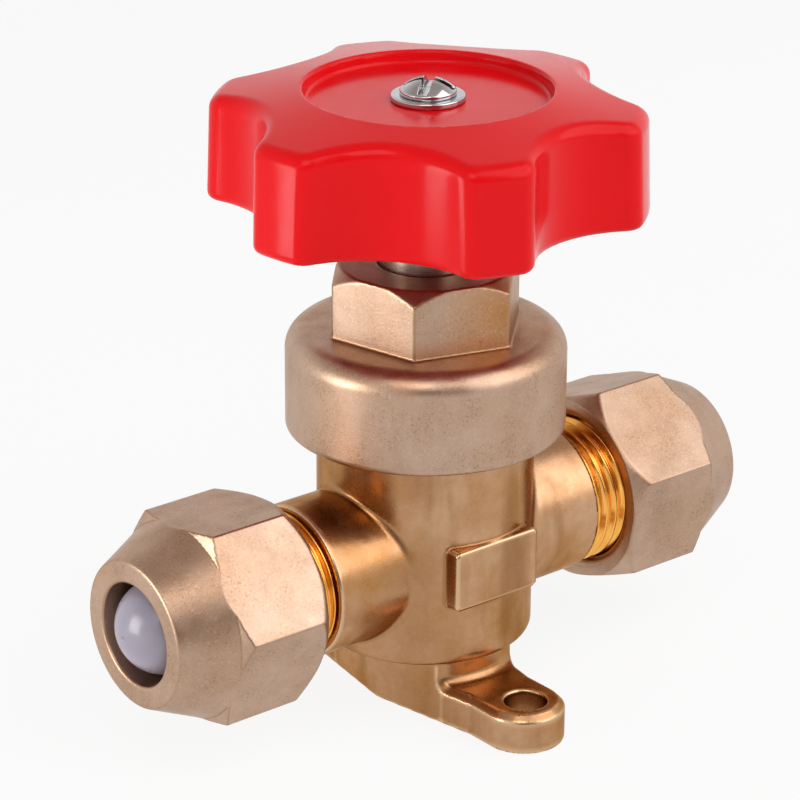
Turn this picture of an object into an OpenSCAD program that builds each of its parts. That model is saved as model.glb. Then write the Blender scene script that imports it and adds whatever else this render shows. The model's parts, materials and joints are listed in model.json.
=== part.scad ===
// Packless hand shut-off valve for refrigerant lines, with flare nuts, in millimetres.
// The base of the foot lies on z = 0 and the stem runs up +Z. The ports lie along X,
// and the ears of the foot point along +Y and -Y.
// The valve is shown shut, with a dust plug under each flare nut.

/* [Ports] */
// Height of the port axis above the base
port_z = 20.5; // [20.3:0.1:23]
// Distance from the stem axis to the mouth of a flare nut
port_reach = 44.9; // [43:0.1:52]
// Diameter of the forged arms
arm_d = 19.7; // [19.4:0.1:20.1]
// Distance from the stem axis to the end of an arm
arm_reach = 21.3; // [20.6:0.1:22]
// Bore of each port
port_bore = 10; // [8:0.1:10.4]
// Length of a port's bore before it turns into a slanted way
port_bore_l = 9; // [8:0.1:10]
// Bore of the slanted ways that lead to the seat and the chamber
way_bore = 8.2; // [6.5:0.1:8.4]
// Outer diameter of the flare thread
flare_thread_d = 19.05; // [18.6:0.05:19.2]
// Width of the relief groove behind the flare thread
relief_w = 1.3; // [1:0.1:1.6]
// Depth of the relief groove
relief_depth = 1.1; // [0.6:0.1:1.3]
// Depth of the flare thread
flare_thread_depth = 0.9; // [0.8:0.05:1]
// Diameter of the stub at the end of its flare cone
nose_d = 11.2; // [10.9:0.1:11.8]

/* [Barrel] */
// Diameter of the forged barrel
barrel_d = 27.5; // [27.2:0.1:28.6]
// Height of the barrel's underside
barrel_z = 8.6; // [8:0.1:9]
// Round of the barrel's lower edge
barrel_round = 1.4; // [0.8:0.1:1.8]
// Height of the neck's bonnet thread above the barrel
neck_proud = 1.25; // [0.9:0.05:1.5]
// Distance from the collar's underside up to the thread on the neck
neck_set_in = 0.6; // [0.3:0.1:1.5]
// Distance from the collar's underside up to the rim that carries the diaphragms
rim_rise = 7.2; // [6.8:0.1:7.6]
// Diameter of the chamber around the seat
chamber_d = 21.6; // [21.2:0.1:22]
// Depth of the chamber under the rim
chamber_depth = 21; // [20.6:0.1:21.4]
// Height of the seat above the chamber floor
seat_h = 6; // [5.6:0.1:6.6]
// Bore of the seat
seat_bore = 9; // [8:0.1:9.6]
// Outer diameter of the seat post
seat_post_d = 13.8; // [13.2:0.1:14]
// Fall of the slanted inlet way from the port axis to the stem axis
inlet_drop = 5.5; // [5:0.1:6]
// Height above the chamber floor at which the slanted outlet way opens
outlet_rise = 3; // [2.6:0.1:3.6]

/* [Pad] */
// Width of the raised pad on the barrel
pad_w = 13.2; // [10:0.1:15]
// Height of the raised pad
pad_h = 8; // [6:0.1:9]
// Height of the pad's middle above the base
pad_z = 21; // [20:0.1:23]
// Height of the pad above the barrel at its middle
pad_proud = 0.6; // [0.3:0.1:1]
// Radius of the pad's corners
pad_round = 0.7; // [0.3:0.1:1.2]

/* [Foot] */
// Thickness of the foot
foot_t = 5.2; // [4:0.1:6]
// Half width of the foot at its middle
foot_half_w = 7.9; // [7:0.1:9]
// Half width of the two ears
ear_half_w = 5.3; // [4.8:0.1:6]
// Distance from the middle to where the ears become straight
ear_start = 15.5; // [14:0.1:16.5]
// Distance between the two screw holes
hole_spacing = 40; // [38:0.1:44]
// Distance from a screw hole back to the middle of its ear's round end
ear_set_back = 0.4; // [0:0.1:0.8]
// Diameter of a screw hole
hole_d = 5.4; // [4.4:0.1:6]
// Chamfer along the upper edge of the foot
foot_chamfer = 0.9; // [0.4:0.1:1.2]
// Diameter of the round pedestal between foot and barrel
pedestal_d = 23.4; // [22.6:0.1:24]
// Radius of the fillet at the foot of the pedestal
pedestal_fillet = 1.3; // [0.8:0.1:1.5]

/* [Bonnet] */
// Wall of the bonnet's collar around the neck
collar_wall = 2.6; // [2.2:0.1:3]
// Height of the collar's underside above the base
collar_z = 36.8; // [36.4:0.1:38]
// Height of the collar
collar_h = 13.2; // [12.8:0.1:13.8]
// Round of the collar's edges
collar_round = 2; // [1:0.1:2.4]
// Distance across the flats of the bonnet's hexagon
hex_af = 22; // [21.6:0.1:23]
// Height of the hexagon above the collar
hex_h = 8.1; // [7.8:0.1:9]
// Turn of the hexagon about the stem
hex_turn = 13.5; // [-30:0.5:30]
// Thickness of the ring that clamps the diaphragms
clamp_t = 2; // [1.8:0.1:2.2]
// Inner diameter of the clamp ring
clamp_bore = 19.8; // [19.4:0.1:20.4]
// Height of the room above the thrust pad
bonnet_room_h = 1.5; // [1.4:0.1:1.8]

/* [Diaphragms and plunger] */
// Thickness of one diaphragm
diaphragm_t = 0.15; // [0.1:0.05:0.2]
// Distance from the neck's edge in to the edge of the diaphragms
diaphragm_set_in = 0.6; // [0.4:0.1:0.8]
// Depth of the dished diaphragms when the valve is shut
diaphragm_dish = 2.4; // [2.3:0.1:2.6]
// Diameter of the flat middle of the diaphragms
diaphragm_flat_d = 8.4; // [8:0.1:9]
// Diameter of the thrust pad
thrust_d = 17.2; // [16:0.1:17.6]
// Distance from the top of the clamp ring down to the top of the thrust pad
thrust_set_in = 0.8; // [0.6:0.1:1]
// Depth of the socket in the thrust pad
thrust_socket = 1.2; // [1:0.1:1.4]
// Thickness of the soft seat disc
seat_disc_t = 2.6; // [2:0.1:3]
// Diameter of the soft seat disc
seat_disc_d = 12.6; // [12:0.1:13]
// Wall of the cup that holds the seat disc
cup_wall = 1.1; // [0.8:0.1:1.3]
// Length of the seat disc that stands out of its cup
disc_proud = 0.8; // [0.5:0.1:1]
// Diameter of the plunger's spring flange
flange_d = 19.6; // [19:0.1:19.8]
// Thickness of the plunger's spring flange
flange_t = 1.6; // [1.2:0.1:2]
// Height of the plunger's cup below its flange
cup_h = 1.2; // [1:0.1:1.4]
// Diameter of the plunger's stem
plunger_stem_d = 6; // [5:0.1:7]
// Height of the cone between the plunger's flange and stem
stem_cone_h = 2; // [1:0.1:2.4]
// Thickness of the button on top of the plunger's stem
button_t = 1; // [0.6:0.1:1.6]

/* [Return spring] */
// Wire diameter of the return spring
spring_wire = 1.1; // [0.8:0.1:1.2]
// Mean diameter of the return spring's coil
spring_d = 17.4; // [17.2:0.1:17.6]
// Number of turns of the return spring
spring_turns = 4.5; // [3.5:0.5:5]

/* [Spindle] */
// Diameter of the spindle's plain shank
shank_d = 12; // [11.4:0.1:12.4]
// Diameter of the spindle's thread
spindle_thread_d = 14; // [13.6:0.1:14.4]
// Length of the spindle's thread
spindle_thread_l = 5.6; // [5:0.1:5.8]
// Diameter of the spindle's tip
tip_d = 7.8; // [7:0.1:8]
// Way that the knob rises from shut to open
lift = 2; // [1.6:0.1:2.2]
// Section of the spindle's sealing ring
seal_section = 1.3; // [1.1:0.1:1.5]
// Distance across the flats of the square that drives the knob
square_af = 8; // [7.5:0.1:8.2]

/* [Fits] */
// Running clearance all round a turning or sliding fit
fit_gap = 0.05; // [0.02:0.01:0.08]
// Clearance all round where one piece drops into another
loose_gap = 0.2; // [0.15:0.01:0.3]
// Chamfer on a small turned edge
edge = 0.3; // [0.2:0.05:0.4]
// Chamfer at the ends of a thread
thread_chamfer = 0.7; // [0.5:0.1:0.8]

/* [Knob] */
// Number of lobes
lobes = 6; // [5:1:7]
// Diameter over the lobes at the top edge
knob_d = 53.6; // [52:0.1:56]
// Growth of the lobes' radius towards the bottom
knob_draft = 0.5; // [0:0.1:1]
// Distance from the hexagon's top to the knob's lower edge, with the valve shut
knob_gap = 7.2; // [7:0.1:9]
// Height of the knob from its lower edge to its rim
knob_h = 15.2; // [14:0.1:16.5]
// Fall of the top face from the recess rim to the lobes
knob_crown = 2.2; // [1.4:0.1:2.6]
// Radius of the scallops between the lobes
scallop_r = 13.8; // [12.6:0.1:15]
// Distance from the stem axis to the deepest point of a scallop
scallop_floor = 21.4; // [20.6:0.1:22.2]
// Round of the knob's upper edges
knob_round = 1.7; // [1:0.1:2.2]
// Round of the knob's lower edges
knob_foot_round = 0.9; // [0.6:0.1:1.4]
// Round of the recess's rim
recess_round = 0.8; // [0.4:0.1:1]
// Round of the lobes' corners
lobe_corner = 2.4; // [1.8:0.1:3]
// Turn of the knob about the stem at rest
knob_turn = 8.8; // [-30:0.1:30]
// Diameter of the round recess in the top
recess_d = 30.6; // [28:0.1:32]
// Depth of the round recess
recess_depth = 1.7; // [1.2:0.1:2.4]
// Wall of the knob's skirt
knob_wall = 2.6; // [2.2:0.1:3]
// Distance from the stem axis to the ends of the hollows in the lobes
hollow_reach = 23.6; // [22:0.1:24.2]
// Thickness of the ribs in the knob's hollow underside
rib_t = 2; // [1.6:0.1:2.4]
// Distance from the knob's lower edge up to its ribs
rib_set_in = 2; // [1:0.1:4]
// Diameter of the hub under the knob
hub_d = 17; // [15:0.1:18]
// Distance from the knob's lower edge up to its hub
hub_set_in = 1; // [0.6:0.1:2]
// Thickness of the knob's web under the recess
web_t = 4; // [3:0.1:5]
// Diameter of the knob's screw
screw_d = 4; // [3:0.5:4]
// Diameter of the screw's head
screw_head_d = 7; // [6:0.1:7.4]
// Height of the screw's head
screw_head_h = 2.1; // [1.8:0.1:2.6]
// Length of the screw under its head
screw_l = 11; // [8:0.5:12]
// Width of the cross cut into the screw's head
screw_slot_w = 1.1; // [0.8:0.1:1.3]
// Depth of the cross cut into the screw's head
screw_slot_depth = 1.1; // [0.8:0.1:1.3]
// Turn of the cross about the stem
screw_slot_turn = 39; // [0:1:90]
// Outer diameter of the washer
washer_d = 9.2; // [8.4:0.1:10]
// Thickness of the washer
washer_t = 0.8; // [0.5:0.1:1]

/* [Flare nuts] */
// Distance across the flats of a nut
nut_af = 24; // [23.4:0.1:25]
// Length of a nut
nut_l = 19.7; // [19:0.1:20.6]
// Diameter of the nut's face at its mouth
mouth_face_d = 18.5; // [17:0.1:20]
// Bore of the nut's mouth, for the tube
mouth_bore = 13; // [12.8:0.1:13.4]
// Length of the bore in the nut's mouth
mouth_l = 5.5; // [5:0.1:6]
// Round of the nut's rim at its mouth
mouth_round = 0.5; // [0.3:0.1:0.8]
// Slope of the long cone at the nut's front
nut_cone_angle = 30.3; // [28:0.1:33]
// Width of the chamfer inside the back of the nut
nut_lead = 1; // [0.6:0.1:1.2]
// Turn of the left nut about the port axis
left_nut_turn = -6.6; // [-30:0.2:30]
// Turn of the right nut about the port axis
right_nut_turn = -19.4; // [-30:0.2:30]

/* [Dust plugs] */
// Wall of a dust plug
plug_wall = 1; // [0.8:0.1:1.2]
// Radius of the plug's round nose
plug_nose_r = 6; // [5.6:0.1:6.2]
// Length by which the nose stands out of the nut
plug_proud = 2; // [0:0.1:3]
// Length of the plug's flared rim along the port
plug_rim_l = 2.4; // [1.8:0.1:2.6]
// Gap between the plug's flared rim and the cones on both sides
flare_gap = 0.2; // [0.1:0.05:0.3]

/* [Hidden] */
$fn = 96;

FORGED_BRASS = [0.80, 0.62, 0.42];
BLASTED_BRASS = [0.83, 0.67, 0.52];
TURNED_BRASS = [0.85, 0.66, 0.35];
SPINDLE_STEEL = [0.60, 0.57, 0.54];
STAINLESS = [0.78, 0.78, 0.80];
RED_PLASTIC = [0.85, 0.10, 0.13];
CHROME = [0.88, 0.88, 0.90];
NYLON = [0.93, 0.91, 0.85];
LILAC_PLASTIC = [0.75, 0.73, 0.80];
RUBBER = [0.06, 0.06, 0.06];

// A cut reaches this far past the face it opens
over = 1;
// The thickness of an outline inside a hull, and of a joint between two drawn stretches
slice = 0.01;
// Facets round a large curve, and round a small one
large_fn = 180;
small_fn = 48;

// Places along a port, measured from the stem axis
nut_back_x = port_reach - nut_l;
cone_x = port_reach - mouth_l;
// Both flare cones lie at 45 degrees, with the plug's rim and two gaps between them
flare_gap_x = flare_gap*sqrt(2);
rim_room_x = plug_wall*sqrt(2) + 2*flare_gap_x;
nose_x = cone_x + mouth_bore/2 - nose_d/2 - rim_room_x;
cone_foot_d = flare_thread_d - 2*flare_thread_depth;
cone_foot_x = nose_x - (cone_foot_d - nose_d)/2;
thread_x = arm_reach + relief_w;
relief_d = flare_thread_d - 2*relief_depth;
way_mouth_x = nose_x - port_bore_l;
nut_thread_d = flare_thread_d + 2*fit_gap;
nut_thread_end_x = cone_x - (nut_thread_d - mouth_bore)/2;
plug_centre_x = port_reach + plug_proud - plug_nose_r;

// Heights up the stem, with the valve shut
collar_top_z = collar_z + collar_h;
hex_top_z = collar_top_z + hex_h;
neck_z = collar_z + neck_set_in;
rim_z = collar_z + rim_rise;
chamber_z = rim_z - chamber_depth;
seat_z = chamber_z + seat_h;
inlet_z = port_z - inlet_drop;
outlet_z = chamber_z + outlet_rise;
pack_t = 3*diaphragm_t;
clamp_z = rim_z + pack_t;
clamp_top_z = clamp_z + clamp_t;
room_top_z = clamp_top_z + bonnet_room_h;
thrust_z = clamp_z - diaphragm_dish;
thrust_top_z = clamp_top_z - thrust_set_in;
tip_z = thrust_top_z - thrust_socket;
button_top_z = thrust_z - pack_t;
disc_top_z = seat_z + seat_disc_t;
cup_z = seat_z + disc_proud;
flange_z = cup_z + cup_h;
flange_top_z = flange_z + flange_t;
spindle_thread_z = thrust_top_z + loose_gap;
spindle_thread_top_z = spindle_thread_z + spindle_thread_l;
bonnet_thread_top_z = spindle_thread_top_z + lift + loose_gap;
seal_groove_w = seal_section + 2*loose_gap;
seal_z = bonnet_thread_top_z + edge + seal_groove_w/2;

// Heights of the knob and what holds it
knob_z = hex_top_z + knob_gap;
knob_top_z = knob_z + knob_h;
edge_z = knob_top_z - knob_crown;
recess_z = knob_top_z - recess_depth;
web_z = recess_z - web_t;
hub_z = knob_z + hub_set_in;
socket_top_z = recess_z - web_t/2;
square_top_z = socket_top_z - loose_gap;
washer_top_z = recess_z + washer_t;

// Fits and diameters
neck_thread_d = barrel_d + 2*neck_proud;
neck_bore = neck_thread_d + 2*fit_gap;
collar_d = neck_bore + 2*collar_wall;
pack_d = neck_thread_d - 2*diaphragm_set_in;
button_d = diaphragm_flat_d - 2*edge;
cup_d = seat_disc_d + 2*cup_wall;
shank_bore = shank_d + 2*fit_gap;
seal_groove_d = shank_bore - 2*(seal_section + 2*fit_gap);

// The knob's lobes: a round at each corner touches the rim from inside and the scallop
knob_foot_r = knob_d/2 + knob_draft;
scallop_x = scallop_floor + scallop_r;
lobe_r = knob_foot_r - lobe_corner;
lobe_s = scallop_r + lobe_corner;
lobe_turn = acos((lobe_r*lobe_r + scallop_x*scallop_x - lobe_s*lobe_s)/(2*lobe_r*scallop_x));
lobe_centre = lobe_r*[cos(lobe_turn), sin(lobe_turn)];
lobe_on_rim = lobe_centre*knob_foot_r/lobe_r;
lobe_on_scallop = lobe_centre + ([scallop_x, 0] - lobe_centre)*lobe_corner/lobe_s;
// The scallops' upper round slopes with the crown, from the valley out to the corners
crown_slope = knob_crown/(knob_d/2 - recess_d/2);
function crown_z(r) = knob_top_z - crown_slope*(r - recess_d/2);
valley_z = crown_z(scallop_floor);
corner_z = crown_z(norm(lobe_on_scallop));
scallop_tilt = atan((valley_z - corner_z)/(lobe_on_scallop[0] - scallop_floor));

// The piece between a corner b and the round of radius r that touches both its sides
module corner_web(a, b, c, r) {
    u = (a - b)/norm(a - b);
    v = (c - b)/norm(c - b);
    half = acos(u*v)/2;
    middle = (u + v)/norm(u + v);
    centre = b + middle*r/sin(half);
    difference() {
        polygon([b - middle*slice, b + u*r/tan(half), centre, b + v*r/tan(half)]);
        translate(centre) circle(r);
    }
}

// An outline with round corners: a radius above zero rounds one off, below zero fills one
module rounded(points, radii) {
    n = len(points);
    difference() {
        union() {
            polygon(points);
            for (i = [0:n - 1]) if (radii[i] < 0)
                corner_web(points[(i + n - 1) % n], points[i], points[(i + 1) % n], -radii[i]);
        }
        for (i = [0:n - 1]) if (radii[i] > 0)
            corner_web(points[(i + n - 1) % n], points[i], points[(i + 1) % n], radii[i]);
    }
}

// A hexagon with a corner on the +Y axis
module hexagon(af) {
    rotate(30) circle(d = af/cos(30), $fn = 6);
}

// Turns what is drawn along +Z so that it runs along +X at the height of the ports
module along_port() {
    translate([0, 0, port_z]) rotate([0, 90, 0]) children();
}

// The children, and their mirror image on the left side
module both_sides() {
    for (side = [0, 1]) mirror([side, 0, 0]) children();
}

// The foot's outline: a lozenge with two straight ears, less an even margin
module lozenge(margin) {
    slope = atan((foot_half_w - ear_half_w)/ear_start);
    mid = foot_half_w - margin/cos(slope);
    end = ear_half_w - margin;
    polygon([[mid, 0], [end, ear_start], [-end, ear_start],
             [-mid, 0], [-end, -ear_start], [end, -ear_start]]);
}

// One layer of the foot, whose outline shrinks by the margin from bottom to top
module foot_layer(z, h, margin) {
    round_y = hole_spacing/2 - ear_set_back;
    ear_l = round_y - ear_start;
    translate([0, 0, z]) {
        hull() {
            linear_extrude(slice) lozenge(0);
            translate([0, 0, h - slice]) linear_extrude(slice) lozenge(margin);
        }
        for (side = [-1, 1]) {
            translate([0, side*round_y, 0])
                cylinder(h = h, r1 = ear_half_w, r2 = ear_half_w - margin);
            translate([0, side*(ear_start + ear_l/2), 0]) rotate([90, 0, 0])
                linear_extrude(ear_l + 2*slice, center = true)
                    polygon([[-ear_half_w, 0], [ear_half_w, 0],
                             [ear_half_w - margin, h], [margin - ear_half_w, h]]);
        }
    }
}

module foot() {
    foot_layer(0, foot_t - foot_chamfer, 0);
    foot_layer(foot_t - foot_chamfer, foot_chamfer, foot_chamfer);
}

// The pedestal is round, but no wider than the foot
module pedestal() {
    r = pedestal_d/2;
    wide = r + 2*pedestal_fillet;
    top = barrel_z + over;
    intersection() {
        rotate_extrude() rounded(
            [[0, 0], [wide, 0], [wide, foot_t], [r, foot_t], [r, top], [0, top]],
            [0, 0, 0, -pedestal_fillet, 0, 0]);
        linear_extrude(top) lozenge(0);
    }
}

module barrel() {
    r = barrel_d/2;
    rotate_extrude() rounded([[0, barrel_z], [r, barrel_z], [r, rim_z], [0, rim_z]],
                             [0, barrel_round, 0, 0]);
    // The neck carries the bonnet's thread
    translate([0, 0, neck_z]) cylinder(h = rim_z - neck_z, d = neck_thread_d);
}

// The raised pad faces -Y and starts inside the barrel
module pad() {
    x = pad_w/2;
    y = pad_h/2;
    translate([0, 0, pad_z]) rotate([90, 0, 0]) linear_extrude(barrel_d/2 + pad_proud)
        rounded([[-x, -y], [x, -y], [x, y], [-x, y]],
                [pad_round, pad_round, pad_round, pad_round]);
}

// One arm with its flare stub
module arm() {
    along_port() rotate_extrude() polygon([
        [0, 0], [arm_d/2, 0], [arm_d/2, arm_reach - edge], [arm_d/2 - edge, arm_reach],
        [relief_d/2, arm_reach], [relief_d/2, thread_x],
        [flare_thread_d/2 - edge, thread_x], [flare_thread_d/2, thread_x + edge],
        [flare_thread_d/2, cone_foot_x - thread_chamfer], [cone_foot_d/2, cone_foot_x],
        [nose_d/2, nose_x], [0, nose_x]]);
}

// A drilled way between two points, each given by its X and Z
module slanted_way(from, to) {
    run = to[0] - from[0];
    rise = to[1] - from[1];
    translate([from[0], 0, from[1]]) rotate([0, atan2(run, rise), 0])
        translate([0, 0, -over]) cylinder(h = norm([run, rise]) + 2*over, d = way_bore);
}

module valve_body() color(FORGED_BRASS) difference() {
    union() {
        foot();
        pedestal();
        barrel();
        pad();
        both_sides() arm();
    }
    // Chamber around the seat post
    difference() {
        translate([0, 0, chamber_z]) cylinder(h = chamber_depth + over, d = chamber_d);
        cylinder(h = seat_z, d = seat_post_d);
    }
    // Seat bore, down to where the inlet way meets the stem axis
    translate([0, 0, inlet_z]) cylinder(h = seat_z - inlet_z + over, d = seat_bore);
    both_sides() translate([way_mouth_x, 0, 0])
        along_port() cylinder(h = port_bore_l + over, d = port_bore);
    // From the left port down to under the seat
    slanted_way([-way_mouth_x, port_z], [0, inlet_z]);
    // From the right port up into the chamber
    slanted_way([way_mouth_x, port_z], [(seat_post_d + chamber_d)/4, outlet_z]);
    for (side = [-1, 1]) translate([0, side*hole_spacing/2, -over])
        cylinder(h = foot_t + 2*over, d = hole_d);
}

module bonnet() color(BLASTED_BRASS) difference() {
    union() {
        rotate_extrude() rounded(
            [[0, collar_z], [collar_d/2, collar_z], [collar_d/2, collar_top_z], [0, collar_top_z]],
            [0, collar_round, collar_round, 0]);
        // The hexagon's corners are turned off at 45 degrees at the top
        intersection() {
            translate([0, 0, collar_z]) rotate(hex_turn)
                linear_extrude(hex_top_z - collar_z) hexagon(hex_af);
            rotate_extrude() polygon([[0, collar_z], [hex_af, collar_z],
                [hex_af, hex_top_z - hex_af/2], [hex_af/2, hex_top_z], [0, hex_top_z]]);
        }
    }
    translate([0, 0, collar_z - over])
        cylinder(h = clamp_top_z - collar_z + over, d = neck_bore);
    translate([0, 0, collar_z]) cylinder(h = room_top_z - collar_z, d = clamp_bore);
    translate([0, 0, collar_z])
        cylinder(h = bonnet_thread_top_z - collar_z, d = spindle_thread_d + 2*fit_gap);
    translate([0, 0, collar_z]) cylinder(h = hex_top_z - collar_z + over, d = shank_bore);
}

module clamp_ring() color(TURNED_BRASS) difference() {
    translate([0, 0, clamp_z]) cylinder(h = clamp_t, d = pack_d);
    translate([0, 0, clamp_z - over]) cylinder(h = clamp_t + 2*over, d = clamp_bore);
}

// One of the dished metal discs that lie on each other, counted from the lowest
module diaphragm(layer) {
    flat_r = diaphragm_flat_d/2;
    dish_r = clamp_bore/2 + edge;
    color(STAINLESS) translate([0, 0, rim_z + layer*diaphragm_t]) rotate_extrude() polygon([
        [0, -diaphragm_dish], [flat_r, -diaphragm_dish], [dish_r, 0], [pack_d/2, 0],
        [pack_d/2, diaphragm_t], [dish_r, diaphragm_t],
        [flat_r, diaphragm_t - diaphragm_dish], [0, diaphragm_t - diaphragm_dish]]);
}
module diaphragm_lower() diaphragm(0);
module diaphragm_middle() diaphragm(1);
module diaphragm_upper() diaphragm(2);

// The pad turns the spindle's push into a push on the middle of the diaphragms
module thrust_pad() {
    socket_r = tip_d/2 + loose_gap;
    color(TURNED_BRASS) rotate_extrude() polygon([
        [0, thrust_z], [button_d/2, thrust_z],
        [thrust_d/2, thrust_z + diaphragm_dish - loose_gap], [thrust_d/2, thrust_top_z],
        [socket_r, thrust_top_z], [socket_r, tip_z], [0, tip_z]]);
}

// The plunger carries the seat disc in a cup, and its flange rests on the spring
module plunger() {
    stem_r = plunger_stem_d/2;
    cone_r = stem_r + stem_cone_h;
    button_r = button_d/2;
    button_z = button_top_z - button_t;
    color(TURNED_BRASS) difference() {
        rotate_extrude() polygon([
            [0, cup_z], [cup_d/2, cup_z], [cup_d/2, flange_z], [flange_d/2, flange_z],
            [flange_d/2, flange_top_z], [cone_r, flange_top_z],
            [stem_r, flange_top_z + stem_cone_h], [stem_r, button_z],
            [button_r, button_z], [button_r, button_top_z], [0, button_top_z]]);
        translate([0, 0, cup_z - over])
            cylinder(h = disc_top_z - cup_z + over, d = seat_disc_d);
    }
}

module seat_disc() color(NYLON)
    translate([0, 0, seat_z]) cylinder(h = seat_disc_t, d = seat_disc_d);

// The spring's wire is a helix with a closed turn at each end
wire_sides = 8;
turn_steps = 18;
closed_pitch = spring_wire + fit_gap;
spring_low_z = chamber_z + spring_wire/2 + slice;
spring_high_z = flange_z - spring_wire/2 - slice;
open_pitch = (spring_high_z - spring_low_z - 2*closed_pitch)/(spring_turns - 2);
function wire_z(turns) = turns < 1 ? spring_low_z + closed_pitch*turns
    : turns > spring_turns - 1 ? spring_high_z - closed_pitch*(spring_turns - turns)
    : spring_low_z + closed_pitch + open_pitch*(turns - 1);
function wire_ring(turns) = [for (k = [0:wire_sides - 1])
    let (t = 360/wire_sides*k, r = spring_d/2 + spring_wire/2*cos(t))
    [r*cos(360*turns), r*sin(360*turns), wire_z(turns) + spring_wire/2*sin(t)]];

module return_spring() {
    steps = turn_steps*spring_turns;
    points = [for (i = [0:steps]) each wire_ring(i/turn_steps)];
    sides = [for (i = [0:steps - 1], k = [0:wire_sides - 1])
        let (a = wire_sides*i + k, b = wire_sides*i + (k + 1) % wire_sides)
        [a, b, b + wire_sides, a + wire_sides]];
    start_cap = [for (k = [wire_sides - 1:-1:0]) k];
    end_cap = [for (k = [0:wire_sides - 1]) wire_sides*steps + k];
    color(STAINLESS) polyhedron(points, concat([start_cap], sides, [end_cap]));
}

module spindle() color(SPINDLE_STEEL) difference() {
    union() {
        rotate_extrude() polygon([
            [0, tip_z], [tip_d/2 - edge, tip_z], [tip_d/2, tip_z + edge],
            [tip_d/2, spindle_thread_z],
            [spindle_thread_d/2 - thread_chamfer, spindle_thread_z],
            [spindle_thread_d/2, spindle_thread_z + thread_chamfer],
            [spindle_thread_d/2, spindle_thread_top_z - thread_chamfer],
            [spindle_thread_d/2 - thread_chamfer, spindle_thread_top_z],
            [shank_d/2, spindle_thread_top_z], [shank_d/2, hub_z - edge],
            [shank_d/2 - edge, hub_z], [0, hub_z]]);
        translate([0, 0, hub_z - over]) linear_extrude(square_top_z - hub_z + over)
            square(square_af, center = true);
    }
    // Groove for the sealing ring
    rotate_extrude() translate([seal_groove_d/2, seal_z - seal_groove_w/2])
        square([shank_d/2, seal_groove_w]);
    // Hole for the knob's screw
    translate([0, 0, washer_top_z - screw_l - over])
        cylinder(h = screw_l + over, d = screw_d + 2*fit_gap);
}

module spindle_seal() color(RUBBER) rotate_extrude()
    translate([seal_groove_d/2 + fit_gap + seal_section/2, seal_z])
        circle(d = seal_section, $fn = small_fn);

// The knob's outline at its foot: a disc with scallops between round lobes
module knob_outline() {
    // Just past the corner where the rim and the scallop would meet
    past = [lobe_on_rim[0] + lobe_corner, lobe_on_scallop[1]];
    difference() {
        circle(knob_foot_r, $fn = large_fn);
        for (k = [0:lobes - 1]) rotate(360/lobes*(k + 0.5)) {
            translate([scallop_x, 0]) circle(scallop_r);
            for (side = [0, 1]) mirror([0, side]) difference() {
                polygon([lobe_centre, lobe_on_rim*(1 + slice), past, lobe_on_scallop]);
                translate(lobe_centre) circle(lobe_corner, $fn = small_fn);
            }
        }
    }
}

// What is cut off a square corner to round it, with the round's middle at the origin
module corner_cut(r) {
    difference() {
        square(r + over);
        circle(r);
    }
}

// The knob's crown, draft, round edges and the round recess in its top
module knob_profile() {
    recess_r = recess_d/2;
    difference() {
        rounded([[0, knob_z], [knob_foot_r, knob_z], [knob_d/2, edge_z],
                 [recess_r, knob_top_z], [recess_r - recess_depth, recess_z], [0, recess_z]],
                [0, 0, 0, recess_round, -recess_round, 0]);
        translate([knob_d/2 - knob_round, edge_z - knob_round*(1 - crown_slope/2)])
            corner_cut(knob_round);
        translate([knob_foot_r - knob_foot_round, knob_z + knob_foot_round])
            rotate(-90) corner_cut(knob_foot_round);
    }
}

// A cutter that rounds an edge at height zero by radius r, around a hole of radius hole_r
module edge_ring(hole_r, r) {
    inside = r/4;
    rotate_extrude() difference() {
        translate([hole_r - inside, -r]) square([r + inside, r + over]);
        translate([hole_r + r, -r]) circle(r);
    }
}

// The outline of the hollow underside: an even wall around it, and the hub left standing
module knob_hollow() {
    difference() {
        circle(hollow_reach);
        for (k = [0:lobes - 1]) rotate(360/lobes*(k + 0.5))
            translate([scallop_x, 0]) circle(scallop_r + knob_wall);
        circle(d = hub_d);
    }
}

// Ribs from the hub out into the lobes
module knob_ribs() {
    for (k = [0:lobes - 1]) rotate(360/lobes*k) translate([0, -rib_t/2])
        square([knob_d/2, rib_t]);
}

module knob() color(RED_PLASTIC) rotate(knob_turn) difference() {
    intersection() {
        translate([0, 0, knob_z]) linear_extrude(knob_h) knob_outline();
        rotate_extrude($fn = large_fn) knob_profile();
    }
    // The scallops' edges are rounded like the rim's
    for (k = [0:lobes - 1]) rotate(360/lobes*(k + 0.5)) {
        translate([scallop_floor, 0, valley_z]) rotate([0, scallop_tilt, 0])
            translate([scallop_r, 0, 0]) edge_ring(scallop_r, knob_round);
        translate([scallop_x, 0, knob_z]) mirror([0, 0, 1])
            edge_ring(scallop_r, knob_foot_round);
    }
    translate([0, 0, knob_z - over])
        linear_extrude(rib_set_in + over) knob_hollow();
    translate([0, 0, knob_z]) linear_extrude(web_z - knob_z) difference() {
        knob_hollow();
        knob_ribs();
    }
    translate([0, 0, knob_z - over]) cylinder(h = hub_set_in + over, d = hub_d);
    // Square socket and screw hole
    rotate(-knob_turn) translate([0, 0, hub_z - over])
        linear_extrude(socket_top_z - hub_z + over)
            square(square_af + 2*fit_gap, center = true);
    translate([0, 0, hub_z]) cylinder(h = knob_h, d = screw_d + 2*loose_gap);
}

module knob_washer() color(CHROME) difference() {
    translate([0, 0, recess_z]) cylinder(h = washer_t, d = washer_d);
    translate([0, 0, recess_z - over])
        cylinder(h = washer_t + 2*over, d = screw_d + 2*loose_gap);
}

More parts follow.
